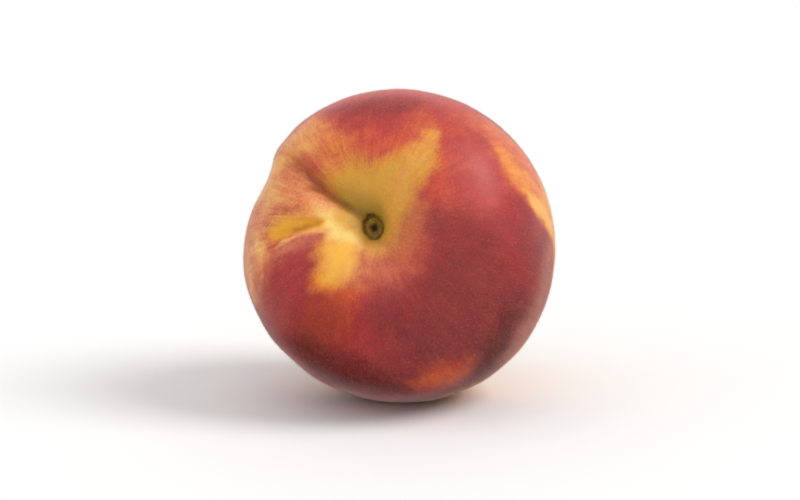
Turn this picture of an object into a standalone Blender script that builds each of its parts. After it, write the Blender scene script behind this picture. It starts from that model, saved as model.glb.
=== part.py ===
"""A ripe peach, as picked, lying on its side on a small flat spot.

Metres, +Z up. The origin is the middle of the flat spot that the fruit rests on. The stem cavity
faces -Y, a little up and to the left, and the tip is behind. The fruit is one solid: a sphere whose
surface is moved in and out along the rays from its middle. A ray is given by its polar angle from
the stem and its bearing round the stem, counted from the suture.
"""

import math

import bmesh
import bpy
import numpy as np
from mathutils import Matrix

# Driving sizes, in metres
HALF_WIDTH = 0.036
STEM_HEIGHT = 0.95 * HALF_WIDTH
TIP_HEIGHT = 0.97 * HALF_WIDTH
SCAR_RADIUS = 0.0030
REST_CUT = 0.0007

# How the fruit lies
STEM_ELEVATION = math.radians(21.0)
STEM_BEARING = math.radians(-103.4)
SUTURE_ROLL = math.radians(-123.8)

# The sphere's grid, and how far its rings are drawn in towards the two ends
SEGMENTS = 80
RINGS = 48
RINGS_TO_STEM = 0.45
RINGS_TO_ENDS = 0.30
SEGMENTS_TO_SUTURE = 0.55

# Body of revolution: how square its shoulders and its lower half are
SHOULDER_POWER = 2.40
LOWER_POWER = 2.08
TIP_POINT = 0.0026
TIP_REACH = math.radians(13)
TIP_ROUND = math.radians(3.5)

# Stem cavity: a wide dish whose middle lies off the stem, and a narrower throat down to the scar
DISH_DEPTH = 0.0072
DISH_POLAR = math.radians(9.5)
DISH_BEARING = math.radians(-29)
DISH_REACH = math.radians(22)
THROAT_DEPTH = 0.0030
THROAT_REACH = math.radians(10)

# Suture: a narrow V that leaves the cavity, a shallow groove to the tip, and a sunken cheek beside it
V_DEPTH = 0.0036
V_POLAR = math.radians(24)
V_REACH = math.radians(12)
V_STEEP = 0.0015
V_GENTLE = 0.0050
V_ROUND = 0.22
SEAM_BEARING = math.radians(-1)
SWAY = math.radians(3)
SWAY_POLAR = math.radians(50)
SWAY_REACH = math.radians(10)
GROOVE_DEPTH = 0.0006
GROOVE_WIDTH = 0.0040
CHEEK_DROP = 0.0044
CHEEK_POLAR = math.radians(77)
CHEEK_REACH = math.radians(27)
CHEEK_EDGE = math.radians(10)
CHEEK_SPREAD = math.radians(34)

# Fold in the left shoulder
FOLD_BEARING = math.radians(35)
FOLD_START = math.radians(18)
FOLD_END = math.radians(42)
FOLD_SWAY = math.radians(7.7)
FOLD_DEPTH = 0.0019
FOLD_STEEP = 0.0009
FOLD_GENTLE = 0.0017
FOLD_ROUND = 0.3

# Stalk scar, an oval: a ring-shaped groove and a pit, whose widths are shares of the scar's radius
SCAR_OVAL = 0.18
SCAR_LEAN = math.radians(-25)
RING_DEPTH = 0.0007
RING_MIDDLE = 0.84
RING_WIDTH = 0.16
PIT_DEPTH = 0.00105
PIT_WIDTH = 0.27

# Swellings and hollows: polar angle, bearing and reach in degrees, and height in metres
SWELLINGS = (
    (29, 14, 10, 0.0015),
    (39, 63, 16, 0.0012),
    (30, 95, 13, -0.0008),
    (42, 134, 24, 0.0009),
    (39, -113, 20, 0.0013),
    (36, -84, 12, -0.0007),
    (44, -47, 20, 0.0006),
    (90, -95, 40, 0.0006),
    (119, 102, 45, -0.0005),
    (113, 172, 30, 0.0006),
    (131, -77, 28, -0.0005),
)


def body_radius(polar):
    """A superellipse turned round the stem axis, flatter at the stem end than at the tip."""
    upper = np.cos(polar) > 0
    power = np.where(upper, SHOULDER_POWER, LOWER_POWER)
    height = np.where(upper, STEM_HEIGHT, TIP_HEIGHT)
    across = np.abs(np.sin(polar)) / HALF_WIDTH
    along = np.abs(np.cos(polar)) / height
    return (across**power + along**power) ** (-1 / power)


def tip_point(polar):
    """A low blunt cone at the tip, falling away by an exponential of the angle from it."""
    from_tip = np.sqrt((math.pi - polar) ** 2 + TIP_ROUND**2)
    return TIP_POINT * np.exp(-from_tip / TIP_REACH)


def bell(polar, bearing, polar_at, bearing_at, reach):
    """A bell curve of the angle between each ray and the ray at its own middle, 1 at that middle."""
    turn = np.cos(bearing - bearing_at)
    cosine = np.cos(polar) * math.cos(polar_at) + np.sin(polar) * math.sin(polar_at) * turn
    return np.exp(-2 * (1 - cosine) / reach**2)


def stem_cavity(polar, bearing):
    """The wide dish, longer on the upper side of the stem, and the throat in it."""
    dish = bell(polar, bearing, DISH_POLAR, DISH_BEARING, DISH_REACH)
    throat = np.exp(-((polar / THROAT_REACH) ** 2))
    return DISH_DEPTH * dish + THROAT_DEPTH * throat


def suture(polar, bearing):
    """The seam: a V, steep on one lobe and gentle on the other, a groove, and the sunken cheek."""
    past_seam = bearing - SEAM_BEARING + SWAY * np.tanh((polar - SWAY_POLAR) / SWAY_REACH)
    aside = HALF_WIDTH * np.sin(polar) * past_seam
    facing = 0.5 + 0.5 * np.cos(bearing)
    leaves_pole = 1 - np.exp(-((polar / THROAT_REACH) ** 2))
    flank = np.where(aside > 0, V_STEEP, V_GENTLE)
    vee = np.exp(V_ROUND - np.sqrt((aside / flank) ** 2 + V_ROUND**2))
    narrow = V_DEPTH * vee * np.exp(-(((polar - V_POLAR) / V_REACH) ** 2))
    wide = GROOVE_DEPTH * np.exp(-((aside / GROOVE_WIDTH) ** 2)) * np.sin(polar) ** 0.5
    onto_cheek = np.maximum(past_seam, 0)
    cheek = (1 - np.exp(-((onto_cheek / CHEEK_EDGE) ** 2))) * np.exp(-((onto_cheek / CHEEK_SPREAD) ** 2))
    cheek_run = np.exp(-(((polar - CHEEK_POLAR) / CHEEK_REACH) ** 2))
    return facing * leaves_pole * (narrow + wide) + CHEEK_DROP * cheek * cheek_run


def shoulder_fold(polar, bearing):
    """A short crease, a little bent and steeper on its lower side, that runs out from the cavity."""
    middle = 0.5 * (FOLD_START + FOLD_END)
    half_run = 0.5 * (FOLD_END - FOLD_START)
    sway = FOLD_SWAY * np.tanh(2 * (polar - middle) / half_run + 1)
    aside = HALF_WIDTH * np.sin(polar) * (bearing - FOLD_BEARING - sway)
    run = np.exp(-(((polar - middle) / half_run) ** 4))
    flank = np.where(aside > 0, FOLD_STEEP, FOLD_GENTLE)
    return FOLD_DEPTH * run * np.exp(FOLD_ROUND - np.sqrt((aside / flank) ** 2 + FOLD_ROUND**2))


def swellings(polar, bearing):
    """Round swellings and hollows, each a bell curve round its own middle."""
    height = np.zeros_like(polar)
    for polar_at, bearing_at, reach, rise in SWELLINGS:
        there = math.radians(polar_at), math.radians(bearing_at), math.radians(reach)
        height += rise * bell(polar, bearing, *there)
    return height


def stem_scar(polar, bearing, radius):
    """Depth of the oval stalk scar: a ring-shaped groove round a low button with a pit in its middle."""
    oval = 1 - SCAR_OVAL * np.cos(2 * (bearing - SCAR_LEAN))
    from_axis = oval * radius * np.sin(polar) / SCAR_RADIUS
    ring = RING_DEPTH * np.exp(-(((from_axis - RING_MIDDLE) / RING_WIDTH) ** 2))
    pit = PIT_DEPTH * np.exp(-((from_axis / PIT_WIDTH) ** 2))
    at_stem_end = np.cos(polar) > 0
    return np.where(at_stem_end, ring + pit, 0)


def skin_radius(polar, bearing):
    """Distance of the skin from the fruit's middle, along the ray at these two angles."""
    radius = body_radius(polar) + tip_point(polar) + swellings(polar, bearing)
    radius -= stem_cavity(polar, bearing) + suture(polar, bearing) + shoulder_fold(polar, bearing)
    return radius - stem_scar(polar, bearing, radius)


def grid_angles(points):
    """Polar angle and bearing of each point of the sphere, drawn in towards the stem and the suture."""
    share = np.arccos(np.clip(points[:, 2], -1, 1)) / math.pi
    turn = np.arctan2(points[:, 1], points[:, 0])
    to_stem = RINGS_TO_STEM * np.sin(math.pi * share)
    to_ends = RINGS_TO_ENDS * np.sin(2 * math.pi * share) / 2
    polar = math.pi * share - to_stem - to_ends
    bearing = turn - SEGMENTS_TO_SUTURE * np.sin(turn)
    return polar, bearing


def lying_matrix():
    """Turns the fruit from stem up, suture to +X, to the way it lies."""
    roll = Matrix.Rotation(SUTURE_ROLL, 4, "Z")
    tip_over = Matrix.Rotation(math.pi / 2 - STEM_ELEVATION, 4, "Y")
    swing = Matrix.Rotation(STEM_BEARING, 4, "Z")
    return swing @ tip_over @ roll


def shape_fruit(mesh):
    """Moves the sphere's points onto the skin, with the stem along +Z."""
    points = np.array([vertex.co for vertex in mesh.verts])
    polar, bearing = grid_angles(points)
    radius = skin_radius(polar, bearing)
    placed = np.column_stack(
        (
            radius * np.sin(polar) * np.cos(bearing),
            radius * np.sin(polar) * np.sin(bearing),
            radius * np.cos(polar),
        )
    )
    for vertex, point in zip(mesh.verts, placed):
        vertex.co = point


def cut_rest_spot(mesh):
    """Cuts the underside off level and closes it with one flat face, whose middle becomes the origin."""
    level = min(vertex.co.z for vertex in mesh.verts) + REST_CUT
    everything = mesh.verts[:] + mesh.edges[:] + mesh.faces[:]
    cut = bmesh.ops.bisect_plane(
        mesh, geom=everything, plane_co=(0, 0, level), plane_no=(0, 0, -1), clear_outer=True
    )
    rim = [part for part in cut["geom_cut"] if isinstance(part, bmesh.types.BMEdge)]
    spot = bmesh.ops.contextual_create(mesh, geom=rim)["faces"][0]
    spot.smooth = False
    for edge in spot.edges:
        edge.smooth = False
    middle = spot.calc_center_median_weighted()
    bmesh.ops.translate(mesh, verts=mesh.verts, vec=-middle)


def peach_skin_material():
    """Crimson skin with the soft, dull finish that its down gives it."""
    material = bpy.data.materials.new("peach_skin")
    material.use_nodes = True
    shader = material.node_tree.nodes["Principled BSDF"]
    shader.inputs["Base Color"].default_value = (0.42, 0.05, 0.04, 1)
    shader.inputs["Roughness"].default_value = 0.6
    shader.inputs["Metallic"].default_value = 0.0
    return material


def make_peach():
    """The whole fruit as one object."""
    mesh = bmesh.new()
    bmesh.ops.create_uvsphere(mesh, u_segments=SEGMENTS, v_segments=RINGS, radius=1)
    for face in mesh.faces:
        face.smooth = True
    shape_fruit(mesh)
    bmesh.ops.transform(mesh, matrix=lying_matrix(), verts=mesh.verts)
    cut_rest_spot(mesh)
    bmesh.ops.recalc_face_normals(mesh, faces=mesh.faces)
    data = bpy.data.meshes.new("peach")
    mesh.to_mesh(data)
    mesh.free()
    data.materials.append(peach_skin_material())
    return bpy.data.objects.new("peach", data)


def main():
    for old in list(bpy.data.objects):
        bpy.data.objects.remove(old)
    parts = bpy.data.collections.new("Peach")
    bpy.context.scene.collection.children.link(parts)
    parts.objects.link(make_peach())


main()
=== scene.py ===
"""A ripe peach on its side on a pale floor: its skin, blush, stalk scar and down."""

import math
from dataclasses import dataclass

import bpy
import numpy as np
from mathutils import Matrix, Vector


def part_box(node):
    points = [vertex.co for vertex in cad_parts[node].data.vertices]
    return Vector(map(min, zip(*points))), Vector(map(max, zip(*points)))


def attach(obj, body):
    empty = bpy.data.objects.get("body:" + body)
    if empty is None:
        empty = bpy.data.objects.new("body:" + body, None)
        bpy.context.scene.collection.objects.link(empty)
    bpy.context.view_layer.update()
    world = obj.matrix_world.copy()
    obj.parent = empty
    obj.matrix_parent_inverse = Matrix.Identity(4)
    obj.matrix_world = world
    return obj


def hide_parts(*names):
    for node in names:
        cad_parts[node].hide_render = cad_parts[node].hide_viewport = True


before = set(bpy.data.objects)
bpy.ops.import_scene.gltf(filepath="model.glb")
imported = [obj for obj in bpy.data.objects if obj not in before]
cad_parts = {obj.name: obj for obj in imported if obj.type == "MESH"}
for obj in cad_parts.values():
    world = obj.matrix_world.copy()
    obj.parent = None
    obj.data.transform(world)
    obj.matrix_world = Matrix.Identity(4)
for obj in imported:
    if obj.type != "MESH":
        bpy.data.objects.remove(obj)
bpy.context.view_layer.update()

# Driving sizes of the fruit, in metres, and the way it lies, as in its source
HALF_WIDTH = 0.036
STEM_HEIGHT = 0.95 * HALF_WIDTH
TIP_HEIGHT = 0.97 * HALF_WIDTH
SCAR_RADIUS = 0.0030
STEM_ELEVATION = math.radians(21.0)
STEM_BEARING = math.radians(-103.4)
SUTURE_ROLL = math.radians(-123.8)

# The skin's grid: how far its rings are drawn in towards the stem and towards both ends, and its columns
# towards the suture
COLUMNS = 440
ROWS = 216
ROWS_TO_STEM = 0.45
ROWS_TO_ENDS = 0.30
COLUMNS_TO_SUTURE = 0.45

# Body: the powers of its superellipse at the stem end and at the tip end, and the low point at the tip
SHOULDER_POWER = 2.40
LOWER_POWER = 2.08
TIP_POINT = 0.0026
TIP_REACH = math.radians(13)
TIP_ROUND = math.radians(3.5)

# Stem cavity: a wide dish whose middle is beside the stem, and the throat round the stem
DISH_DEPTH = 0.0072
DISH_POLAR = math.radians(9.5)
DISH_BEARING = math.radians(-29)
DISH_REACH = math.radians(22)
THROAT_DEPTH = 0.0030
THROAT_REACH = math.radians(10)

# Suture: where it runs, its V with a steep and a gentle flank, its wide groove, and the cheek sunk beside it
SEAM_BEARING = math.radians(-1)
SWAY = math.radians(3)
SWAY_POLAR = math.radians(50)
SWAY_REACH = math.radians(10)
V_DEPTH = 0.0036
V_POLAR = math.radians(24)
V_REACH = math.radians(12)
V_STEEP = 0.0015
V_GENTLE = 0.0050
V_ROUND = 0.16
GROOVE_DEPTH = 0.0006
GROOVE_WIDTH = 0.0040
CHEEK_DROP = 0.0044
CHEEK_POLAR = math.radians(77)
CHEEK_REACH = math.radians(27)
CHEEK_EDGE = math.radians(10)
CHEEK_SPREAD = math.radians(34)

# Fold in the left shoulder: where it runs from and to, how far it bends, and its steep and gentle flanks
FOLD_BEARING = math.radians(35)
FOLD_START = math.radians(18)
FOLD_END = math.radians(42)
FOLD_SWAY = math.radians(7.7)
FOLD_DEPTH = 0.0019
FOLD_STEEP = 0.0009
FOLD_GENTLE = 0.0017
FOLD_ROUND = 0.3

# Stalk scar: how oval it is, and its ring-shaped groove and its pit, with places and widths in scar radii
SCAR_OVAL = 0.18
SCAR_LEAN = math.radians(-25)
RING_DEPTH = 0.0007
RING_MIDDLE = 0.84
RING_WIDTH = 0.16
PIT_DEPTH = 0.00105
PIT_WIDTH = 0.27

# Swellings and hollows: polar angle, bearing and reach in degrees, and height in metres
SWELLINGS = (
    (29, 14, 10, 0.0015),
    (39, 63, 16, 0.0012),
    (30, 95, 13, -0.0008),
    (42, 134, 24, 0.0009),
    (39, -113, 20, 0.0013),
    (36, -84, 12, -0.0007),
    (44, -47, 20, 0.0006),
    (90, -95, 40, 0.0006),
    (119, 102, 45, -0.0005),
    (113, 172, 30, 0.0006),
    (131, -77, 28, -0.0005),
)

# Fine relief: pleats that run into the stem cavity, and low lumps all over, as wide as a share of the
# radius. The pleats' waves: how many stand round the stem, phase, slant with the polar angle, and share
PLEAT_HEIGHT = 0.00007
PLEAT_POLAR = math.radians(16)
PLEAT_REACH = math.radians(9)
PLEAT_WAVES = (
    (9, 0.6, 0, 1),
    (14, 2.1, 3, 0.7),
    (23, 4.0, 0, 0.5),
)
LUMP_HEIGHT = 0.00008
LUMP_WIDTH = 0.30

# Down: hairs spread between two heights on the stem axis, as shares of the way from stem to tip, which
# leave the scar and the tip bare. How far hairs stray and lean away from the stem is in shares of a unit
# direction, and how deep their feet are sunk is a share of their length
DOWN_PIECES = 3
FIRST_DRAW = 40
HAIRS_A_PIECE = 49000
HAIR_SPREAD = (0.0065, 0.996)
HAIR_LENGTH = (0.00030, 0.00065)
HAIR_THICKNESS = 0.000017
HAIR_STRAY = 0.55
HAIR_LEAN = 0.35
HAIR_SUNK = 0.1
FLOOR_CLEARANCE = 0.0002

# Half the step, in radians, over which the skin's slopes are measured
SLOPE_STEP = 0.001

# How far a hair's triangle stays from the edges of its square on the baking map, as a share of the square
MAP_MARGIN = 0.1

# Colour map: the waves that bend it, each by its width as a share of the radius and its height in degrees,
# and the share of that bending near the stem, which grows to all of it between two polar angles in degrees
BENDS = ((0.28, 1.2), (0.09, 0.5))
BEND_AT_STEM = 0.3
BEND_GROWS = (8, 38)

# The back of the fruit: the polar angles in degrees between which the red thins, and the polar angle,
# bearing and reach of the cheek that stays red
BACK_THINS = (84, 124)
RED_CHEEK = (math.radians(108), math.radians(50), math.radians(34))

# Colours as a screen shows them, 0 to 255: the blush from its lightest to its deepest, the deepest partly
# painted shade low on the fruit, and a pink on it that is partly the down's bloom and partly painted sheen,
# the ground from yellow to green and its tan freckles, the brown near the stem and farther out, partly
# stain and partly painted shade in the creases, and the hairs and the sheen over it all
BLUSH = ((218, 96, 34), (200, 60, 32), (172, 38, 40), (140, 27, 34), (102, 18, 18))
BLOOM_AND_PAINTED_SHEEN = (218, 134, 122)
YELLOW = (238, 170, 30)
CREAM = (252, 226, 138)
KHAKI = (190, 148, 62)
OLIVE = (172, 132, 20)
TAN = (182, 104, 38)
BROWN_AT_STEM = (130, 90, 6)
BROWN = (132, 56, 14)
HAIR = (238, 210, 194)
SHEEN = (255, 226, 214)

# How the noises break up the blush: the share of each in its cover and in its depth, and how much they
# count where the blush is half there and everywhere
COVER_BREAKS = {"streaks": 0.8, "blots": 0.4, "dots": 0.6, "grains": 0.45}
DEPTH_BREAKS = {"streaks": 0.2, "blots": 0.3, "dots": 0.3, "grains": 0.12}
BREAKS_AT_HALF = 3
BREAKS_ALWAYS = 0.12

# Where the streaks set in, and where the brown changes, in half widths from the stem axis
STREAKS_GROW = (0.15, 0.6)
BROWN_CHANGES = (0.15, 0.4)

# The scar's colours, and where its bands fade in or out, in scar radii from the stem axis
DARK_WOOD = (100, 74, 8)
LIGHT_WOOD = (146, 110, 24)
SCAR_HALO = (136, 106, 26)
OUTER_RING = (74, 46, 0)
INNER_RING = (72, 46, 0)
PIT = (48, 22, 0)
HALO_ENDS = (0.9, 2.2)
SCAR_ENDS = (0.88, 1.06)
OUTER_RING_STARTS = (0.6, 0.86)
INNER_RING_STARTS = (0.34, 0.46)
INNER_RING_ENDS = (0.5, 0.64)
PIT_ENDS = (0.14, 0.46)

# Floor: half its width in metres, and its two nearly equal greys
FLOOR_HALF = 3.0
FLOOR_GREYS = ((236, 236, 235), (241, 241, 240))

# Lamps: where each shines from, how wide it is in degrees, and its strength
LAMPS = {
    "key": ((0.70, -0.13, 0.70), 34, 1.85),
    "fill": ((-0.45, -0.55, 0.70), 100, 1.1),
}

# Sky: its strength below, beside, above and behind the fruit and in a narrow band at eye level, and the
# heights or depths on a sky one unit wide between which one strength fades into another
SKY_BELOW = 0.06
SKY_SIDE = 0.38
SKY_TOP = 0.48
SKY_BACK = 1.05
SKY_BAND = 1.1
BELOW_FADES = (-0.1, 0.1)
BACK_GROWS = (0.35, 0.95)
BAND_FADES = (0.06, 0.14)

# Camera: how far above level it is, its distance from the fruit's middle and how much lower it is hung,
# in metres, its lens in millimetres, and how near it sees
CAMERA_ELEVATION = math.radians(11)
CAMERA_DISTANCE = 0.63
CAMERA_DROP = 0.0015
CAMERA_LENS = 122
CAMERA_NEAR = 0.01


@dataclass
class Patch:
    """One area of colour: its outline as polar angles and bearings in degrees, how many degrees its edge
    takes to fade, and the fields that it sets."""

    outline: tuple
    soft: float
    blush: float = None
    depth: float = None
    olive: float = None
    pale: float = None
    stain: float = None


PATCHES = (
    # Shoulder above the cavity, red with a dark band at the top
    Patch(((29, -18), (65, -15), (80, -59), (62, -95), (40, -86), (28, -55)),
          soft=22, depth=0.42, pale=0.45),
    Patch(((54, -32), (58, -52), (58, -70), (51, -84), (45, -74), (41, -59), (42, -40)),
          soft=16, depth=0.82, pale=0.4),
    Patch(((42, -20), (37, -42), (36, -60), (39, -78), (30, -83), (27, -58), (27, -39), (30, -16)),
          soft=14, blush=0.93, depth=0.28, pale=0.42),
    Patch(((44, -71), (50, -74), (46, -82), (39, -86), (37, -80)),
          soft=13, blush=0.9, depth=0.34, pale=0.5),
    Patch(((46, -79), (55, -82), (62, -88), (60, -96), (51, -95), (44, -87)),
          soft=12, blush=0.97, depth=0.46, pale=0.4),
    # Right of the cavity
    Patch(((41, -86), (46, -93), (35, -114), (35, -127), (31, -134), (23, -129), (23, -114), (31, -99)),
          soft=17, blush=0.95, depth=0.28, pale=0.3),
    # Painted sheen: a pale pink over the red of the right shoulder, where the highlight falls
    Patch(((42, -94), (52, -98), (55, -123), (48, -141), (39, -144), (35, -127)),
          soft=20, depth=0.48, pale=0.9),
    Patch(((47, -141), (58, -124), (74, -135), (88, -141), (81, -156), (57, -151)),
          soft=18, depth=0.72, pale=0.3),
    Patch(((56, -148), (66, -141), (80, -143), (89, -148), (85, -157), (67, -159)),
          soft=16, depth=0.85, pale=0.35),
    Patch(((22, -137), (35, -137), (46, -146), (51, -164), (49, 178), (36, 165), (27, 166), (23, -173)),
          soft=20, depth=0.84, pale=0.35),
    # Lower front, the deepest red, down to where the fruit rests: partly its own deep blush and partly
    # painted shade low on the fruit, with a painted sheen of pale pink along the right limb
    Patch(((36, 135), (34, 158), (36, -178), (45, -161), (62, -160), (84, -168), (92, 170), (84, 152),
           (64, 140)),
          soft=24, depth=0.88, pale=0.42),
    # Painted shade: the darkest red, low on the lower right towards the floor
    Patch(((66, -178), (75, -165), (95, -165), (100, 160), (84, 152), (71, 166)),
          soft=24, depth=1.05, pale=0),
    # Painted sheen: a pale pink haze along the low right limb
    Patch(((80, -144), (79, -160), (80, -172), (81, 180), (88, 174), (98, 176), (102, -165), (97, -150),
           (89, -142)),
          soft=20, blush=0.95, depth=0.82, olive=0, pale=0.75),
    # Painted shade: the darkest red, low at the lower left
    Patch(((48, 90), (53, 84), (62, 88), (76, 104), (80, 140), (68, 146), (58, 124)),
          soft=16, depth=1.0, pale=0),
    # Streak down the right side
    Patch(((59, -96), (65, -89), (75, -92), (86, -105), (96, -116), (99, -127), (86, -128), (72, -128),
           (61, -127), (57, -119), (55, -108)),
          soft=12, blush=0.88, depth=0.22, pale=0.42),
    Patch(((57, -106), (56, -118), (59, -122), (62, -125), (64, -131), (71, -134), (79, -139), (92, -140),
           (95, -134), (86, -126), (75, -121), (69, -116), (64, -107)),
          soft=6, blush=0.66, depth=0.14, olive=0, pale=0.3),
    Patch(((64, -126), (65, -129), (68, -132), (73, -134), (83, -138), (92, -138), (93, -134), (86, -131),
           (78, -129), (71, -127)),
          soft=5, blush=0.28, depth=0.1, olive=0, pale=0.4),
    Patch(((87, -119), (93, -122), (112, -126), (120, -142), (103, -150), (91, -140), (86, -130)),
          soft=15, blush=0.4, depth=0.12, pale=0.55),
    # Left shoulder and limb, between the suture and the fold
    Patch(((61, -4), (61, -20), (49, -26), (38, -28), (32, -20), (34, -9), (45, 0)),
          soft=16, blush=0.62, depth=0.17, pale=0.6),
    Patch(((39, -24), (38, -33), (35, -40), (31, -41), (30, -31), (32, -21), (35, -14)),
          soft=12, blush=0.76, depth=0.34, pale=0.3),
    Patch(((70, 10), (56, 2), (47, 10), (41, 22), (41, 34), (48, 46), (52, 56), (56, 66), (64, 66),
           (72, 40)),
          soft=20, blush=0.6, depth=0.2, pale=1),
    Patch(((60, 8), (52, -2), (43, -2), (36, 6), (36, 14), (42, 24), (50, 24), (58, 16)),
          soft=12, blush=0.46, depth=0.15, pale=0.6),
    Patch(((43, 28), (46, 44), (54, 50), (64, 46), (64, 28), (52, 22)),
          soft=12, blush=0.78, depth=0.3, pale=1),
    Patch(((42, 3), (32, 3), (28, -5), (33, -13), (40, -9)),
          soft=11, blush=0.9, depth=0.42),
    Patch(((40, 14), (35, 7), (30, 8), (27, 14), (28, 20), (35, 27), (44, 30), (46, 24)),
          soft=11, blush=0.62, depth=0.2, pale=0.7),
    Patch(((38, 10), (36, 6), (30, 4), (26, 8), (23, 15), (26, 17), (31, 12), (36, 13)),
          soft=9, blush=0.76, depth=0.28, pale=0.6),
    Patch(((38, 34), (33, 30), (28, 25), (24, 17), (20, 19), (20, 27), (27, 32), (34, 36)),
          soft=9, blush=0.24, depth=0.15, pale=0.5),
    # Cheek below the fold, and the glow under it
    Patch(((36, 46), (35, 54), (39, 62), (45, 68), (52, 64), (51, 52), (45, 43)),
          soft=10, blush=0.7, depth=0.22, pale=0.6),
    Patch(((35, 49), (29, 44), (19, 45), (19, 52), (21, 59), (24, 66), (26, 73), (30, 83), (34, 91),
           (42, 90), (54, 86), (60, 77), (50, 69), (45, 63), (41, 57)),
          soft=10, blush=1, depth=0.64, pale=0.3),
    Patch(((36, 50), (29, 43), (19, 45), (20, 54), (29, 59), (38, 59)),
          soft=10, blush=0.9, depth=0.5, pale=0.9),
    Patch(((44, 61), (44, 70), (46, 78), (54, 80), (64, 75), (55, 66)),
          soft=14, blush=1, depth=0.75, olive=0, pale=0.9),
    Patch(((31, 90), (29, 104), (31, 116), (38, 117), (46, 106), (42, 93)),
          soft=18, blush=0.97, depth=0.5, olive=0.1, pale=0),
    Patch(((27, 98), (24, 110), (24, 128), (29, 128), (34, 114), (32, 98)),
          soft=14, blush=0.93, depth=0.26, olive=0.1, pale=0.1),
    Patch(((66, 138), (61, 147), (63, 158), (70, 163), (77, 159), (81, 149), (75, 139)),
          soft=14, blush=0.88, depth=0.38, olive=0.2, pale=0),
    # Below the scar
    Patch(((11, 108), (14, 150), (19, 171), (24, 168), (25, 150), (23, 128), (19, 112)),
          soft=16, blush=0.88, depth=0.36, olive=0.05, pale=0.8),
    Patch(((10, -128), (18, -106), (24, -106), (21, -140), (23, -165), (22, 172), (16, 160), (12, 150)),
          soft=15, blush=0.86, depth=0.52, olive=0.45, pale=0.4),
    Patch(((7, 118), (9, 153), (12, -175), (14, -148), (17, -124), (20, -128), (18, -150), (18, -175),
           (16, 165), (12, 138)),
          soft=11, blush=0.6, depth=0.44, olive=0.75, pale=0.3),
    Patch(((6, 108), (8, 160), (13, 158), (14, 132), (11, 112)),
          soft=6, blush=0.38, depth=0.3, olive=0.35, pale=0.4),
    Patch(((15, 96), (14, 112), (19, 122), (25, 119), (26, 109), (28, 97), (26, 91)),
          soft=10, blush=0.6, depth=0.14, olive=0.0, pale=0.5),
    Patch(((26, 82), (22, 100), (26, 100), (31, 95), (33, 90), (30, 86)),
          soft=9, blush=0.55, depth=0.16, olive=0.05, pale=0.1),
    # Bare ground round the stem
    Patch(((8, 12), (24, -3), (30, -3), (30, -16), (28, -36), (26, -54), (29, -73), (33, -82), (42, -84),
           (39, -88), (33, -95), (26, -103), (18, -118), (12, -140), (12, -175), (9, 165)),
          soft=9, blush=0.06, depth=0.3, olive=0.5, pale=0.1),
    Patch(((26, -80), (32, -80), (42, -84), (39, -88), (32, -92), (25, -98), (15, -108), (11, -104),
           (18, -82)),
          soft=9, blush=0.32, depth=0.28, olive=0.38, pale=0.35),
    Patch(((24, 2), (23, -7), (19, -27), (14, -58), (10, -84), (6, -121), (6, 122), (7, 38)),
          soft=10, blush=0.0, depth=0.3, olive=0.9, pale=0),
    Patch(((34, 3), (23, 1), (18, 5), (20, 12), (21, 22), (24, 22), (28, 8)),
          soft=8, blush=0.5, depth=0.26, olive=0, pale=0.7),
    Patch(((22, 26), (20, 8), (13, 4), (8, 24), (6, 80), (10, 108), (16, 84), (18, 60), (19, 42),
           (22, 34)),
          soft=7, blush=0.05, depth=0.2, olive=0.12, pale=0.75),
    Patch(((21, 1), (12, 1), (7, 20), (8, 60), (12, 48), (16, 30), (19, 14)),
          soft=6, blush=0.03, depth=0.2, olive=0.46, pale=0.3),
    Patch(((44, 3), (35, 3), (30, 3), (24, 3), (19, 5), (18, 11), (24, 11), (30, 10), (46, 10)),
          soft=7, blush=0.8, depth=0.2, pale=0.85),
    Patch(((18, 60), (11, 80), (12, 100), (17, 108), (22, 105), (26, 100), (27, 91), (24, 78), (22, 65)),
          soft=9, blush=0.1, depth=0.1, olive=0.06, pale=0.3),
    # Gold above the fold's crease, and the pale lip under it
    Patch(((53, 45), (49, 41), (43, 39), (40, 43), (41, 48), (47, 51)),
          soft=8, blush=0.46, depth=0.12, pale=0.7),
    Patch(((41, 41), (40, 38), (37, 36), (34, 35), (31, 33.5), (26, 29), (20, 31), (19, 41), (24, 42),
           (29, 43.5), (33, 45), (37, 43)),
          soft=4.5, blush=0.0, depth=0.1, olive=0.25, pale=0.12),
    Patch(((36, 50), (31, 46), (28, 44), (24, 42.5), (17, 42), (17, 46.5), (22, 47), (28, 46.5),
           (32, 49)),
          soft=3, blush=0.42, depth=0.12, olive=0, pale=0.5),
    # Brown in the glow, and in the depth of the suture and of the fold: partly the skin's own stain, partly
    # painted shade
    Patch(((34, 92), (31, 104), (33, 117), (42, 115), (53, 106), (52, 93), (44, 86)),
          soft=14, stain=0.35),
    Patch(((28, 4), (33, 5), (46, 4), (47, -6), (36, -6), (24, -12)),
          soft=8, stain=0.42),
    Patch(((9, 6), (16, 4), (22, 2.5), (27, 3), (31, 4), (34, 3.5), (38, 2), (36, -0.5), (29, -2),
           (20, -6), (13, -14), (9, -26)),
          soft=3.5, stain=0.85),
    Patch(((31, 44), (28, 43.5), (24, 41), (20.5, 40), (20.5, 33), (24, 33), (28, 38), (30.5, 42)),
          soft=3, stain=0.5),
)


def body_radius(polar):
    """A superellipse turned round the stem axis, flatter at the stem end than at the tip: the radius at
    which the shares of the half width and of the height, each to a power, add up to one."""
    upper = np.cos(polar) > 0
    power = np.where(upper, SHOULDER_POWER, LOWER_POWER)
    height = np.where(upper, STEM_HEIGHT, TIP_HEIGHT)
    across = np.abs(np.sin(polar)) / HALF_WIDTH
    along = np.abs(np.cos(polar)) / height
    return (across**power + along**power) ** (-1 / power)


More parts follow.
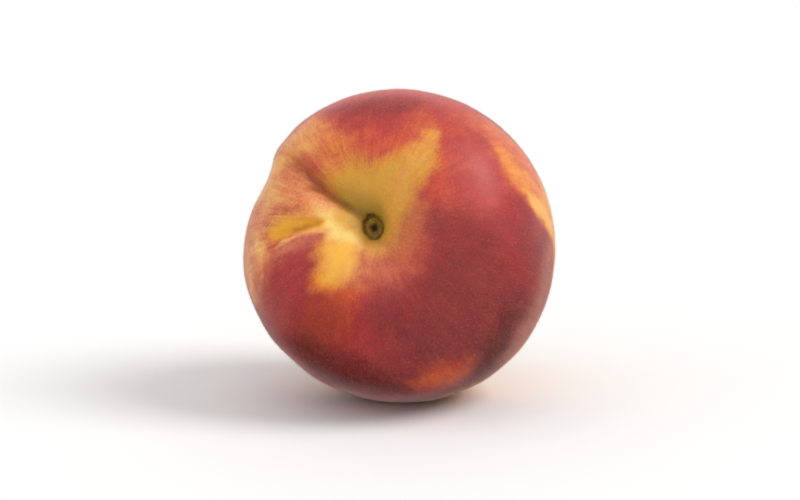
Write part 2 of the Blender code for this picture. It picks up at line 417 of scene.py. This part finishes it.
def tip_point(polar):
    """A low blunt cone at the tip, falling away by an exponential of the angle from it."""
    from_tip = np.sqrt((math.pi - polar) ** 2 + TIP_ROUND**2)
    return TIP_POINT * np.exp(-from_tip / TIP_REACH)


def bell(polar, bearing, polar_at, bearing_at, reach):
    """A bell curve of the angle between each ray and the ray at its own middle, 1 at that middle."""
    turn = np.cos(bearing - bearing_at)
    cosine = np.cos(polar) * math.cos(polar_at) + np.sin(polar) * math.sin(polar_at) * turn
    return np.exp(-2 * (1 - cosine) / reach**2)


def stem_cavity(polar, bearing):
    """The wide dish, a bell curve round a ray above the stem, and the throat, one round the stem."""
    dish = bell(polar, bearing, DISH_POLAR, DISH_BEARING, DISH_REACH)
    throat = np.exp(-((polar / THROAT_REACH) ** 2))
    return DISH_DEPTH * dish + THROAT_DEPTH * throat


def suture(polar, bearing):
    """The seam's depth, from the distance aside of a line that sways a little between stem and tip.

    The V falls off by an exponential of that distance, sooner on one lobe than on the other, in a band of
    polar angles. The groove is a bell curve of the distance. The cheek starts past the seam on one side
    as one less a bell curve, and ends as a wider one. V and groove fade at the stem and away from the
    suture's own side of the fruit."""
    past_seam = bearing - SEAM_BEARING + SWAY * np.tanh((polar - SWAY_POLAR) / SWAY_REACH)
    aside = HALF_WIDTH * np.sin(polar) * past_seam
    facing = 0.5 + 0.5 * np.cos(bearing)
    leaves_pole = 1 - np.exp(-((polar / THROAT_REACH) ** 2))
    flank = np.where(aside > 0, V_STEEP, V_GENTLE)
    vee = np.exp(V_ROUND - np.sqrt((aside / flank) ** 2 + V_ROUND**2))
    narrow = V_DEPTH * vee * np.exp(-(((polar - V_POLAR) / V_REACH) ** 2))
    wide = GROOVE_DEPTH * np.exp(-((aside / GROOVE_WIDTH) ** 2)) * np.sin(polar) ** 0.5
    onto_cheek = np.maximum(past_seam, 0)
    cheek = (1 - np.exp(-((onto_cheek / CHEEK_EDGE) ** 2))) * np.exp(-((onto_cheek / CHEEK_SPREAD) ** 2))
    cheek_run = np.exp(-(((polar - CHEEK_POLAR) / CHEEK_REACH) ** 2))
    return facing * leaves_pole * (narrow + wide) + CHEEK_DROP * cheek * cheek_run


def shoulder_fold(polar, bearing):
    """A short bent crease that runs out from the cavity: its depth falls off by an exponential of the
    distance from its line, sooner below it than above, and fades at both its ends."""
    middle = 0.5 * (FOLD_START + FOLD_END)
    half_run = 0.5 * (FOLD_END - FOLD_START)
    sway = FOLD_SWAY * np.tanh(2 * (polar - middle) / half_run + 1)
    aside = HALF_WIDTH * np.sin(polar) * (bearing - FOLD_BEARING - sway)
    run = np.exp(-(((polar - middle) / half_run) ** 4))
    flank = np.where(aside > 0, FOLD_STEEP, FOLD_GENTLE)
    return FOLD_DEPTH * run * np.exp(FOLD_ROUND - np.sqrt((aside / flank) ** 2 + FOLD_ROUND**2))


def swellings(polar, bearing):
    """Round swellings and hollows, each a bell curve round its own middle."""
    height = np.zeros_like(polar)
    for polar_at, bearing_at, reach, rise in SWELLINGS:
        there = math.radians(polar_at), math.radians(bearing_at), math.radians(reach)
        height += rise * bell(polar, bearing, *there)
    return height


def stem_scar(polar, bearing, radius):
    """Depth of the oval stalk scar: a ring-shaped groove round a low button with a pit in its middle, both
    bell curves of the distance from the stem axis."""
    oval = 1 - SCAR_OVAL * np.cos(2 * (bearing - SCAR_LEAN))
    from_axis = oval * radius * np.sin(polar) / SCAR_RADIUS
    ring = RING_DEPTH * np.exp(-(((from_axis - RING_MIDDLE) / RING_WIDTH) ** 2))
    pit = PIT_DEPTH * np.exp(-((from_axis / PIT_WIDTH) ** 2))
    at_stem_end = np.cos(polar) > 0
    return np.where(at_stem_end, ring + pit, 0)


def pleats(polar, bearing):
    """Low pleats round the cavity: a sum of sine waves of the bearing, in a ring-shaped band."""
    band = np.exp(-(((polar - PLEAT_POLAR) / PLEAT_REACH) ** 2))
    height = np.zeros_like(polar)
    for count, phase, slant, share in PLEAT_WAVES:
        height += share * np.sin(count * bearing + phase + slant * polar)
    return PLEAT_HEIGHT * band * height


def waves(points, size, seed, count=9):
    """Soft noise: the sum of sine waves of random direction and phase, about -1 to 1."""
    dice = np.random.default_rng(seed)
    total = np.zeros(len(points))
    for _ in range(count):
        across = dice.normal(size=3)
        across *= 2 * math.pi / (size * np.linalg.norm(across))
        total += np.sin(points @ across + dice.uniform(0, 2 * math.pi))
    return total / math.sqrt(count)


def direction(polar, bearing):
    """Unit vector at these two angles, with the stem along +Z and the suture on the +X side."""
    level = np.sin(polar)
    return np.stack((level * np.cos(bearing), level * np.sin(bearing), np.cos(polar)), axis=-1)


def skin_radius(polar, bearing):
    """Distance of the skin from the fruit's middle, along the ray at these two angles: the body with all
    that swells it, less all that is sunk in it."""
    radius = body_radius(polar) + tip_point(polar) + swellings(polar, bearing) + pleats(polar, bearing)
    radius += LUMP_HEIGHT * waves(direction(polar, bearing), LUMP_WIDTH, seed=30, count=12)
    radius -= stem_cavity(polar, bearing) + suture(polar, bearing) + shoulder_fold(polar, bearing)
    return radius - stem_scar(polar, bearing, radius)


def skin_points(polar, bearing):
    """Points of the skin about the fruit's middle, with the stem along +Z."""
    return skin_radius(polar, bearing)[:, None] * direction(polar, bearing)


def unit(vectors):
    """Each vector divided by its own length."""
    return vectors / np.linalg.norm(vectors, axis=1)[:, None]


def skin_normals(polar, bearing):
    """Outward normals, each the cross product of the skin's slopes down and round, and the slope down."""
    down = skin_points(polar + SLOPE_STEP, bearing) - skin_points(polar - SLOPE_STEP, bearing)
    round_stem = skin_points(polar, bearing + SLOPE_STEP) - skin_points(polar, bearing - SLOPE_STEP)
    return unit(np.cross(down, round_stem)), unit(down)


def lying_matrix():
    """Turns the fruit from stem up, suture to +X, to the way it lies."""
    roll = Matrix.Rotation(SUTURE_ROLL, 3, "Z")
    tip_over = Matrix.Rotation(math.pi / 2 - STEM_ELEVATION, 3, "Y")
    swing = Matrix.Rotation(STEM_BEARING, 3, "Z")
    return swing @ tip_over @ roll


def laid_down(points):
    """Points of the upright fruit, turned to the way it lies."""
    return points @ np.array(lying_matrix()).T


def ease(value):
    """A smooth step: 0 below 0, 1 above 1, and 3v^2 - 2v^3 between."""
    value = np.clip(value, 0, 1)
    return value * value * (3 - 2 * value)


def outside(across, up, outline):
    """Distance from each point of the plane to the nearest edge of an outline, negative inside it, which
    is where a line from the point crosses the edges an odd number of times."""
    corners = [(p * math.cos(math.radians(b)), p * math.sin(math.radians(b))) for p, b in outline]
    nearest = np.full(across.shape, np.inf)
    within = np.zeros(across.shape, bool)
    for (x0, y0), (x1, y1) in zip(corners, corners[1:] + corners[:1]):
        run_x, run_y = x1 - x0, y1 - y0
        along = ((across - x0) * run_x + (up - y0) * run_y) / (run_x**2 + run_y**2)
        along = np.clip(along, 0, 1)
        nearest = np.minimum(nearest, np.hypot(across - x0 - along * run_x, up - y0 - along * run_y))
        crosses = (y0 > up) != (y1 > up)
        if run_y:
            within ^= crosses & (across < x0 + (up - y0) * run_x / run_y)
    return np.where(within, -nearest, nearest)


def bend(rays, seed):
    """How far waves of two sizes push the points of the colour map one way, in degrees."""
    return sum(height * waves(rays, width, seed + index) for index, (width, height) in enumerate(BENDS))


def colour_map(polar, bearing, rays):
    """Places on the flat map that the patches are drawn on: the distance from its middle is the polar angle
    in degrees, and the direction is the bearing. Waves bend it, so that no edge is straight."""
    degrees = np.degrees(polar)
    start, end = BEND_GROWS
    loose = BEND_AT_STEM + (1 - BEND_AT_STEM) * ease((degrees - start) / (end - start))
    across = degrees * np.cos(bearing) + loose * bend(rays, 1)
    up = degrees * np.sin(bearing) + loose * bend(rays, 3)
    return across, up


def ruffles(polar, bearing, rays):
    """Roughness of the patches' edges: streaks along the skin from stem to tip, none near the stem, and
    small waves all over."""
    streaked = np.stack((np.cos(bearing), np.sin(bearing), 0.3 * polar), axis=-1)
    streaks = 0.05 * waves(streaked, 0.25, seed=9, count=12) * ease(polar - 0.2)
    return streaks + 0.04 * waves(rays, 0.08, seed=10, count=12)


def ground_fields(polar, bearing, rays):
    """The fields where no patch lies: all blush in front, and at the back a thin light one on yellow, but
    for the red cheek, all made uneven by waves."""
    start, end = BACK_THINS
    behind = ease((np.degrees(polar) - start) / (end - start) + 0.12 * waves(rays, 0.5, seed=5))
    hidden = behind * (1 - bell(polar, bearing, *RED_CHEEK))
    return {
        "blush": 1 - 0.62 * hidden,
        "depth": 0.72 - 0.5 * hidden + 0.12 * waves(rays, 0.6, seed=6),
        "olive": 0.08 + 0.05 * waves(rays, 0.5, seed=7),
        "pale": 0.24 + 0.1 * waves(rays, 0.5, seed=8),
        "stain": np.zeros_like(polar),
    }


def colour_fields(polar, bearing):
    """How red, deep, olive and pale the skin is, and how far it is browned by stain and painted shade, each
    from 0 to 1 or a little over: the patches are laid over the ground one by one, and each moves the fields
    towards its own by its soft share."""
    rays = direction(polar, bearing)
    across, up = colour_map(polar, bearing, rays)
    fields = ground_fields(polar, bearing, rays)
    ragged = ruffles(polar, bearing, rays)
    for patch in PATCHES:
        share = ease(0.5 - outside(across, up, patch.outline) / patch.soft + ragged)
        for name, field in fields.items():
            level = getattr(patch, name)
            if level is not None:
                field += share * (level - field)
    return {name: np.clip(field, 0, 1.1) for name, field in fields.items()}


class Wire:
    """A value on its way from one node to another; sums and products of it add Math nodes."""

    def __init__(self, nodes, socket):
        self.nodes = nodes
        self.socket = socket

    def math(self, operation, *others):
        return self.nodes.add("ShaderNodeMath", {"operation": operation}, dict(enumerate((self, *others))))

    def __add__(self, other):
        return self.math("ADD", other)

    __radd__ = __add__

    def __sub__(self, other):
        return self.math("SUBTRACT", other)

    def __rsub__(self, other):
        return (self * -1) + other

    def __mul__(self, other):
        return self.math("MULTIPLY", other)

    __rmul__ = __mul__

    def __truediv__(self, other):
        return self.math("DIVIDE", other)

    def eased(self, low, high):
        """0 below low, 1 above high, and a smooth step between."""
        inputs = {"Value": self, "From Min": low, "From Max": high}
        return self.nodes.add("ShaderNodeMapRange", {"interpolation_type": "SMOOTHSTEP"}, inputs)


class Nodes:
    """The nodes of one material or of the sky, added by kind."""

    def __init__(self, owner):
        owner.use_nodes = True
        self.tree = owner.node_tree

    def add(self, kind, settings=None, inputs=None, output=0):
        """Adds a node, sets it up, feeds its sockets with numbers or wires, and gives one of its outputs."""
        node = self.tree.nodes.new(kind)
        for name, value in (settings or {}).items():
            if name == "stops":
                self.set_stops(node.color_ramp, value)
            else:
                setattr(node, name, value)
        for name, value in (inputs or {}).items():
            self.feed(node.inputs[name], value)
        return Wire(self, node.outputs[output])

    def set_stops(self, ramp, colours):
        """Spreads the colours evenly over the ramp."""
        while len(ramp.elements) < len(colours):
            ramp.elements.new(1)
        for number, (element, colour) in enumerate(zip(ramp.elements, colours)):
            element.position = number / (len(colours) - 1)
            element.color = paint(colour)

    def feed(self, socket, value):
        """Links a wire to the socket, or sets the socket to a plain value."""
        if isinstance(value, Wire):
            self.tree.links.new(value.socket, socket)
        else:
            socket.default_value = value

    def noise(self, place, scale, detail=2, roughness=0.5):
        """Fractal noise, 0 to 1, about 0.5."""
        inputs = {"Vector": place, "Scale": scale, "Detail": detail, "Roughness": roughness}
        return self.add("ShaderNodeTexNoise", None, inputs)

    def mix(self, share, first, second):
        """Two colours mixed: all first at 0, all second at 1."""
        return self.add("ShaderNodeMix", {"data_type": "RGBA"}, {0: share, 6: first, 7: second}, output=2)

    def attribute(self, name):
        """A field that is stored on the piece's points."""
        return self.add("ShaderNodeAttribute", {"attribute_name": name}, output="Fac")

    def vector(self, operation, *inputs):
        """A vector worked out from others."""
        return self.add("ShaderNodeVectorMath", {"operation": operation}, dict(enumerate(inputs)))

    def length(self, vector):
        return self.add("ShaderNodeVectorMath", {"operation": "LENGTH"}, {0: vector}, output="Value")

    def part(self, vector, axis):
        """The X, Y or Z of a vector."""
        return self.add("ShaderNodeSeparateXYZ", None, {0: vector}, output=axis)

    def finish(self, kind, **inputs):
        """Feeds the last node's own sockets, by name with spaces as underlines."""
        for name, value in inputs.items():
            self.feed(self.tree.nodes[kind].inputs[name.replace("_", " ")], value)


def paint(colour):
    """A colour given as a screen shows it, 0 to 255, as the shader's linear values."""
    screen = np.array(colour) / 255
    linear = np.where(screen > 0.04045, ((screen + 0.055) / 1.055) ** 2.4, screen / 12.92)
    return (*linear.tolist(), 1)


def grown_place(nodes, middle):
    """Object coordinates turned back to stem up, in half widths from the fruit's middle."""
    inputs = {
        "Vector": nodes.add("ShaderNodeTexCoord", output="Object"),
        "Location": tuple(middle),
        "Rotation": lying_matrix().to_euler(),
        "Scale": (HALF_WIDTH,) * 3,
    }
    return nodes.add("ShaderNodeMapping", {"vector_type": "TEXTURE"}, inputs)


@dataclass
class Mottle:
    """What breaks the colours up, each a noise about 0, from coarse to fine."""

    streaks: Wire
    blots: Wire
    dots: Wire
    grains: Wire

    def blend(self, shares):
        """The sum of the noises, each by its own share."""
        return sum(getattr(self, name) * share for name, share in shares.items())


def mottle(nodes, grown, off_axis):
    """Noises in the skin. The streaks' noise is read at the place plus nine times its direction away from
    the stem axis, so that it changes fast round the fruit and slowly from stem to tip."""
    away = nodes.vector("NORMALIZE", nodes.vector("MULTIPLY", grown, (1, 1, 0)))
    fanned = nodes.vector("ADD", nodes.vector("MULTIPLY", away, (9, 9, 0)), grown)
    streaked = nodes.vector("MULTIPLY", fanned, (1, 1, 2))
    streaks = nodes.noise(streaked, scale=2.6, detail=4, roughness=0.65) - 0.5
    return Mottle(
        streaks=streaks * off_axis.eased(*STREAKS_GROW),
        blots=nodes.noise(grown, scale=9, detail=3, roughness=0.55) - 0.5,
        dots=nodes.noise(grown, scale=60, detail=3, roughness=0.65) - 0.5,
        grains=nodes.noise(grown, scale=150, detail=1) - 0.5,
    )


def blush_cover(nodes, noises):
    """How far the blush hides the ground: its field, broken up by the noises most where it is half there."""
    blush = nodes.attribute("blush")
    unsure = blush * (1 - blush) * BREAKS_AT_HALF + BREAKS_ALWAYS
    cover = blush + noises.blend(COVER_BREAKS) * unsure
    return cover.math("MAXIMUM", 0).math("MINIMUM", 1)


def blush_colour(nodes, noises, pale):
    """Red from light to deep by its depth and the noises, and a pink over it where it is pale, partly the
    down's bloom and partly painted sheen.
    """
    deep = nodes.attribute("depth") * 0.97 + noises.blend(DEPTH_BREAKS)
    red = nodes.add("ShaderNodeValToRGB", {"stops": BLUSH}, {"Fac": deep})
    return nodes.mix(pale * 0.24, red, paint(BLOOM_AND_PAINTED_SHEEN))


def ground_colour(nodes, noises, pale):
    """Yellow to cream, or khaki to olive where the skin is green, with tan freckles."""
    olive = nodes.attribute("olive")
    yellow = nodes.mix((pale + noises.dots * 0.3).eased(0, 1), paint(YELLOW), paint(CREAM))
    green = nodes.mix((olive + noises.blots * 0.3).eased(0.5, 1.1), paint(KHAKI), paint(OLIVE))
    ground = nodes.mix((olive + noises.dots * 0.25).eased(0.05, 0.85), yellow, green)
    freckles = (noises.blots + noises.dots + 0.5).eased(0.3, 1.1)
    return nodes.mix(freckles * 0.22, ground, paint(TAN))


def skin_colour(nodes, grown):
    """The ground, with the blush over it and the brown over both, partly stain and partly painted shade in
    the creases; also the noises that mottle them.
    """
    off_axis = nodes.length(nodes.vector("MULTIPLY", grown, (1, 1, 0)))
    noises = mottle(nodes, grown, off_axis)
    pale = nodes.attribute("pale")
    ground = ground_colour(nodes, noises, pale)
    skin = nodes.mix(blush_cover(nodes, noises), ground, blush_colour(nodes, noises, pale))
    brown = nodes.mix(off_axis.eased(*BROWN_CHANGES), paint(BROWN_AT_STEM), paint(BROWN))
    return nodes.mix(nodes.attribute("stain"), skin, brown), noises


@dataclass
class ScarPlace:
    """Where a point lies by the stalk scar: its roughened distance from the stem axis in scar radii, how
    near it is to the oval's two ends, whether it is at the stem end, and a soft unevenness."""

    far: Wire
    ends: Wire
    at_stem_end: Wire
    uneven: Wire


def scar_place(nodes, grown):
    """The distance is taken after the oval is turned and squeezed to a circle, and a noise is added."""
    inputs = {"Vector": grown, "Rotation": (0, 0, SCAR_LEAN), "Scale": (1 + SCAR_OVAL, 1 - SCAR_OVAL, 1)}
    level = nodes.add("ShaderNodeMapping", {"vector_type": "TEXTURE"}, inputs)
    radii = nodes.length(nodes.vector("MULTIPLY", level, (1, 1, 0)))
    along = nodes.part(level, "X") / radii
    rough = nodes.noise(grown, scale=28, detail=3, roughness=0.6) - 0.5
    return ScarPlace(
        far=radii * (HALF_WIDTH / SCAR_RADIUS) + rough * 0.5,
        ends=along * along,
        at_stem_end=nodes.part(grown, "Z").math("GREATER_THAN", 0),
        uneven=nodes.noise(grown, scale=13).eased(0.36, 0.62),
    )


def scar_colour(nodes, skin, noises, place):
    """Lays the scar over the skin's colour: a brown halo, dry wood, a dark outer ring that is darkest at the
    oval's ends, a broken inner ring and a nearly black pit; also gives the wood's own mask."""
    halo = (1 - place.far.eased(*HALO_ENDS)) * place.at_stem_end
    in_scar = (1 - place.far.eased(*SCAR_ENDS)) * place.at_stem_end
    outer = place.far.eased(*OUTER_RING_STARTS) * in_scar * (place.ends * 0.6 + place.uneven * 0.3 + 0.15)
    inner = place.far.eased(*INNER_RING_STARTS) * (1 - place.far.eased(*INNER_RING_ENDS))
    inner = inner * place.at_stem_end * (1 - place.uneven)
    in_pit = (1 - place.far.eased(*PIT_ENDS)) * place.at_stem_end
    wood = nodes.mix((noises.dots + 0.5).eased(0.2, 0.8), paint(DARK_WOOD), paint(LIGHT_WOOD))
    colour = nodes.mix(halo * 0.55, skin, paint(SCAR_HALO))
    colour = nodes.mix(in_scar, colour, wood)
    colour = nodes.mix(outer * 0.9, colour, paint(OUTER_RING))
    colour = nodes.mix(inner * 0.6, colour, paint(INNER_RING))
    return nodes.mix(in_pit * 0.92, colour, paint(PIT)), in_scar


def peach_skin_material(middle):
    """Ground and blush, the brown stalk scar, a fine grain and the sheen that the down gives."""
    material = bpy.data.materials.new("peach_skin_grown")
    nodes = Nodes(material)
    grown = grown_place(nodes, middle)
    skin, noises = skin_colour(nodes, grown)
    colour, in_scar = scar_colour(nodes, skin, noises, scar_place(nodes, grown))
    height = noises.grains * 0.5 + noises.dots
    nodes.finish(
        "Principled BSDF",
        Base_Color=colour,
        Roughness=0.42 + noises.dots * 0.1 + in_scar * 0.3,
        Normal=nodes.add("ShaderNodeBump", None, {"Strength": 0.35, "Distance": 0.00012, "Height": height}),
        Sheen_Weight=0.14,
        Sheen_Roughness=0.35,
        Sheen_Tint=paint(SHEEN),
        Subsurface_Weight=0.12,
        Subsurface_Radius=(1.0, 0.35, 0.15),
        Subsurface_Scale=0.0015,
        Specular_IOR_Level=0.25,
    )
    return material


def down_material(middle):
    """Pale hairs that take a little of the skin's colour beneath them."""
    material = bpy.data.materials.new("down")
    nodes = Nodes(material)
    skin, _ = skin_colour(nodes, grown_place(nodes, middle))
    nodes.finish("Principled BSDF", Base_Color=nodes.mix(0.5, skin, paint(HAIR)), Roughness=0.75)
    return material


def floor_material():
    """One plain pale colour with a faint grain."""
    material = bpy.data.materials.new("pale_floor")
    nodes = Nodes(material)
    grain = nodes.noise(nodes.add("ShaderNodeTexCoord", output="Object"), scale=4)
    shade, light = FLOOR_GREYS
    nodes.finish("Principled BSDF", Base_Color=nodes.mix(grain, paint(shade), paint(light)), Roughness=0.9)
    return material


def new_piece(name, points, faces, material):
    """A mesh from arrays, standing at the origin, riding on the fruit's one body."""
    mesh = bpy.data.meshes.new(name)
    mesh.from_pydata(points.tolist(), [], faces)
    mesh.polygons.foreach_set("use_smooth", np.ones(len(mesh.polygons), bool))
    mesh.materials.append(material)
    mesh.update()
    piece = bpy.data.objects.new(name, mesh)
    bpy.context.scene.collection.objects.link(piece)
    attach(piece, "root")
    return piece


def store(piece, fields):
    """Keeps each field on the piece's points, for its material to read."""
    for name, values in fields.items():
        layer = piece.data.attributes.new(name, "FLOAT", "POINT")
        layer.data.foreach_set("value", values.astype(np.float32))


def lay_flat(piece, places):
    """Gives each face's corners, in their order, their places on the flat map that colours are baked to."""
    layer = piece.data.uv_layers.new(name="OFBake")
    layer.data.foreach_set("uv", places.astype(np.float32).ravel())


def skin_angles():
    """Polar angle and bearing of every point of the skin: the stem, the rings between, the tip. Even steps
    are drawn in by sine waves towards the stem, the ends and the suture, where the forms are finest."""
    share = np.arange(1, ROWS) / ROWS
    to_stem = ROWS_TO_STEM * np.sin(math.pi * share)
    to_ends = ROWS_TO_ENDS * np.sin(2 * math.pi * share) / 2
    rings = math.pi * share - to_stem - to_ends
    turn = 2 * math.pi * np.arange(COLUMNS) / COLUMNS - math.pi
    bearings = turn - COLUMNS_TO_SUTURE * np.sin(turn)
    polar, bearing = np.meshgrid(rings, bearings, indexing="ij")
    polar = np.concatenate(([0.0], polar.ravel(), [math.pi]))
    bearing = np.concatenate(([0.0], bearing.ravel(), [0.0]))
    return polar, bearing


def skin_faces():
    """Four-sided faces between the rings, and a fan of triangles at the stem and at the tip."""
    column = np.arange(COLUMNS)
    beside = (column + 1) % COLUMNS
    start = 1 + COLUMNS * np.arange(ROWS - 2)[:, None]
    quads = np.stack((start + column, start + COLUMNS + column, start + COLUMNS + beside, start + beside), -1)
    last = 1 + COLUMNS * (ROWS - 2)
    tip = 1 + COLUMNS * (ROWS - 1)
    stem_fan = np.stack((np.zeros_like(column), 1 + column, 1 + beside), -1)
    tip_fan = np.stack((np.full_like(column, tip), last + beside, last + column), -1)
    return stem_fan.tolist() + quads.reshape(-1, 4).tolist() + tip_fan.tolist()


def skin_map():
    """Places of the skin's face corners: bearing runs across the map, and the tip to the stem up it."""
    left = np.arange(COLUMNS) / COLUMNS
    right = left + 1 / COLUMNS
    middle = (left + right) / 2
    stem, first = np.ones(COLUMNS), np.full(COLUMNS, 1 - 1 / ROWS)
    tip, last = np.zeros(COLUMNS), np.full(COLUMNS, 1 / ROWS)
    upper = np.repeat(1 - np.arange(1, ROWS - 1) / ROWS, COLUMNS)
    lower = upper - 1 / ROWS
    west, east = np.tile(left, ROWS - 2), np.tile(right, ROWS - 2)
    stem_fan = np.stack((middle, stem, left, first, right, first), -1)
    quads = np.stack((west, upper, west, lower, east, lower, east, upper), -1)
    tip_fan = np.stack((middle, tip, right, last, left, last), -1)
    return np.concatenate((stem_fan.ravel(), quads.ravel(), tip_fan.ravel()))


def fruit_middle(points):
    """Where the fruit's middle lies, so that the skin's box meets the CAD solid's box."""
    low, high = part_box("peach")
    middle = 0.5 * (np.array(low) + np.array(high) - points.min(0) - points.max(0))
    middle[2] = high[2] - points[:, 2].max()
    return middle


def make_skin():
    """The fruit's whole skin: points along rays from its middle, level where it rests."""
    polar, bearing = skin_angles()
    points = laid_down(skin_points(polar, bearing))
    middle = fruit_middle(points)
    points += middle
    points[:, 2] = np.maximum(points[:, 2], 0)
    skin = new_piece("peach_skin", points, skin_faces(), peach_skin_material(middle))
    store(skin, colour_fields(polar, bearing))
    lay_flat(skin, skin_map())
    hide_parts("peach")
    return middle


def grow_hairs(dice):
    """Two angles for each hair, and its four points: three round its foot, a third of a turn apart, and
    its tip. Its direction is the skin's normal, plus a random stray and a lean away from the stem."""
    polar = np.arccos(1 - 2 * dice.uniform(*HAIR_SPREAD, HAIRS_A_PIECE))
    bearing = dice.uniform(-math.pi, math.pi, HAIRS_A_PIECE)
    root = skin_points(polar, bearing)
    normal, down = skin_normals(polar, bearing)
    stray = dice.normal(size=root.shape) * HAIR_STRAY + down * HAIR_LEAN
    along = unit(normal + stray - normal * np.sum(stray * normal, axis=1)[:, None])
    length = dice.uniform(*HAIR_LENGTH, HAIRS_A_PIECE)[:, None]
    aside = unit(np.cross(along, dice.normal(size=root.shape)))
    other = np.cross(along, aside)
    foot = root - HAIR_SUNK * length * normal
    half = HAIR_THICKNESS / 2
    thirds = [number * 2 * math.pi / 3 for number in range(3)]
    corners = [foot + half * (math.cos(turn) * aside + math.sin(turn) * other) for turn in thirds]
    return polar, bearing, np.stack((*corners, root + length * along), axis=1)


def hair_faces(count):
    """Three sides and a closed foot for each hair's four points."""
    sides = np.array(((0, 1, 3), (1, 2, 3), (2, 0, 3), (0, 2, 1)))
    return (4 * np.arange(count)[:, None, None] + sides).reshape(-1, 3).tolist()


def hair_map(count):
    """Places of the hairs' face corners: each hair has its own small square, which its four faces share."""
    across = math.ceil(math.sqrt(count))
    number = np.arange(count)
    corner = np.stack((number % across, number // across), -1)[:, None, :]
    near, far = MAP_MARGIN, 1 - MAP_MARGIN
    triangle = np.array(((near, near), (far, near), (near, far)))
    return np.tile((corner + triangle) / across, (1, 4, 1))


def make_down(name, draw, middle, material):
    """Thin three-sided spikes, spread by a fixed draw over all the fruit but the scar, the tip and the
    strip next to the floor."""
    polar, bearing, points = grow_hairs(np.random.default_rng(draw))
    points = laid_down(points) + middle
    clear = points[:, :, 2].min(axis=1) > FLOOR_CLEARANCE
    points = points[clear]
    piece = new_piece(name, points.reshape(-1, 3), hair_faces(len(points)), material)
    fields = colour_fields(polar[clear], bearing[clear])
    store(piece, {field: np.repeat(values, 4) for field, values in fields.items()})
    lay_flat(piece, hair_map(len(points)))


def make_floor():
    """A square level floor, which the skin's gloss doesn't mirror."""
    corners = ((-FLOOR_HALF, -FLOOR_HALF, 0), (FLOOR_HALF, -FLOOR_HALF, 0),
               (FLOOR_HALF, FLOOR_HALF, 0), (-FLOOR_HALF, FLOOR_HALF, 0))
    mesh = bpy.data.meshes.new("floor")
    mesh.from_pydata(corners, [], [(0, 1, 2, 3)])
    mesh.materials.append(floor_material())
    floor = bpy.data.objects.new("floor", mesh)
    bpy.context.scene.collection.objects.link(floor)
    floor.visible_glossy = False


def make_lamp(name, shines_from, spread, strength):
    """A far, wide lamp, whose spread makes its shadows soft and its light even."""
    data = bpy.data.lights.new(name, "SUN")
    data.angle = math.radians(spread)
    data.energy = strength
    lamp = bpy.data.objects.new(name, data)
    lamp.location = shines_from
    lamp.rotation_euler = Vector(shines_from).to_track_quat("Z", "Y").to_euler()
    bpy.context.scene.collection.objects.link(lamp)


def make_sky():
    """A white sky whose strength follows the height and depth of each place in it: dim below, brighter
    beside and above, and brightest behind the fruit and in a band at eye level."""
    world = bpy.data.worlds.new("white_room")
    bpy.context.scene.world = world
    nodes = Nodes(world)
    place = nodes.add("ShaderNodeTexCoord", output="Generated")
    height = nodes.part(place, "Z")
    depth = nodes.part(place, "Y")
    strength = height.eased(*BELOW_FADES) * (SKY_SIDE - SKY_BELOW) + SKY_BELOW
    strength = strength + height.eased(0, 1) * (SKY_TOP - SKY_SIDE)
    strength = strength + depth.eased(*BACK_GROWS) * (SKY_BACK - SKY_SIDE)
    band = 1 - height.math("ABSOLUTE").eased(*BAND_FADES)
    strength = strength.math("MAXIMUM", band * SKY_BAND)
    nodes.finish("Background", Color=(1, 1, 1, 1), Strength=strength)
    bpy.context.scene.view_settings.view_transform = "Standard"


def make_camera():
    """From the front, a little above level, as far away as in the photograph, with a long lens."""
    low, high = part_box("peach")
    centre = (low + high) / 2
    away = Vector((0, -math.cos(CAMERA_ELEVATION), math.sin(CAMERA_ELEVATION)))
    data = bpy.data.cameras.new("camera")
    data.lens = CAMERA_LENS
    data.clip_start = CAMERA_NEAR
    camera = bpy.data.objects.new("camera", data)
    camera.location = centre + CAMERA_DISTANCE * away - Vector((0, 0, CAMERA_DROP))
    camera.rotation_euler = (math.pi / 2 - CAMERA_ELEVATION, 0, 0)
    bpy.context.scene.collection.objects.link(camera)
    bpy.context.scene.camera = camera


make_camera()
for lamp_name, lamp_settings in LAMPS.items():
    make_lamp(lamp_name, *lamp_settings)
make_sky()
make_floor()
fruit_centre = make_skin()
hair_material = down_material(fruit_centre)
for number in range(DOWN_PIECES):
    make_down(f"down_{number + 1}", FIRST_DRAW + number, fruit_centre, hair_material)
